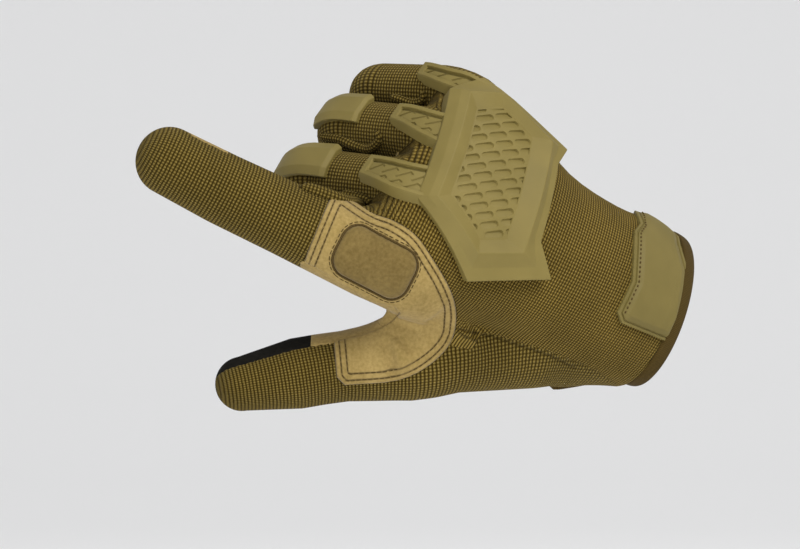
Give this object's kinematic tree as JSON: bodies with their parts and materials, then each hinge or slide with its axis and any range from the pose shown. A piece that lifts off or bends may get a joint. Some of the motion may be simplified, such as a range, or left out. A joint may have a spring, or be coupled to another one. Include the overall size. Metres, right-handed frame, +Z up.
{
  "type": "tactical glove",
  "caption": "Right-hand knit and suede tactical glove with a moulded knuckle guard, in its worn form with the index finger pointing and the others curled.",
  "frame": {"origin": "middle of the wrist opening", "axes": "-X roughly toward the fingertips, -Y toward the viewer of the picture, on the side of the back of the hand, and +Z up"},
  "size_m": [0.1832, 0.0951, 0.1155],
  "materials": {
    "knit": "matt olive brown knit mesh",
    "suede": "matt tan synthetic suede",
    "rubber": "satin moulded tan rubber",
    "black_leather": "matt black synthetic leather",
    "webbing": "matt olive brown elastic webbing",
    "binding": "matt dark olive woven tape"
  },
  "bodies": {
    "root": {"back_panel": "knit", "palm_panel": "suede", "index_back": "knit", "middle_back": "knit", "ring_back": "knit", "little_back": "knit", "index_palm": "suede", "middle_palm": "suede", "ring_palm": "suede", "little_palm": "suede", "thumb_back": "knit", "thumb_palm": "suede", "touch_patch": "black_leather", "web_patch": "suede", "web_pad": "suede", "knuckle_guard": "rubber", "middle_guard": "rubber", "ring_guard": "rubber", "wrist_strap": "webbing", "strap_tab": "rubber", "cuff_binding": "binding"}
  },
  "joints": []
}
